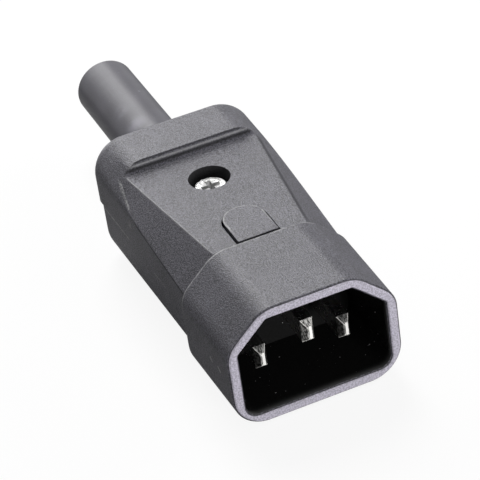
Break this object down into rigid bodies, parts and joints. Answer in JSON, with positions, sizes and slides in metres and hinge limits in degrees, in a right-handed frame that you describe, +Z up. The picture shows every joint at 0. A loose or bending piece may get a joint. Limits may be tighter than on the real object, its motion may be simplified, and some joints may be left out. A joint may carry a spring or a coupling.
{
  "type": "rewireable power plug",
  "caption": "Straight rewireable plug with flat contact pins in a keyed shroud, a screw-closed two-shell housing, an inner cord clamp and a soft cable boot.",
  "frame": {"origin": "middle of the plug's footprint, on the surface that it lies on", "axes": "+Y from the mating rim to the end of the boot, +Z up with the bevelled key of the opening on top, +X to the right of someone who looks along +Y"},
  "size_m": [0.0286, 0.09, 0.0221],
  "materials": {
    "housing_plastic": "dark grey, finely grained moulding",
    "boot_rubber": "dark grey, smooth and soft",
    "pin_nickel": "nickel-plated",
    "terminal_brass": "plain turned brass",
    "screw_steel": "bright zinc-plated",
    "clamp_plastic": "plain moulding"
  },
  "bodies": {
    "root": {"contact_carrier": "housing_plastic", "upper_shell": "housing_plastic", "lower_shell": "housing_plastic", "housing_screw": "screw_steel", "cord_clamp": "clamp_plastic", "cable_boot": "boot_rubber", "line_pin": "pin_nickel", "line_terminal": "terminal_brass", "line_terminal_screw": "screw_steel", "neutral_pin": "pin_nickel", "neutral_terminal": "terminal_brass", "neutral_terminal_screw": "screw_steel", "earth_pin": "pin_nickel", "earth_terminal": "terminal_brass", "earth_terminal_screw": "screw_steel", "left_clamp_screw": "screw_steel", "right_clamp_screw": "screw_steel"}
  },
  "joints": []
}
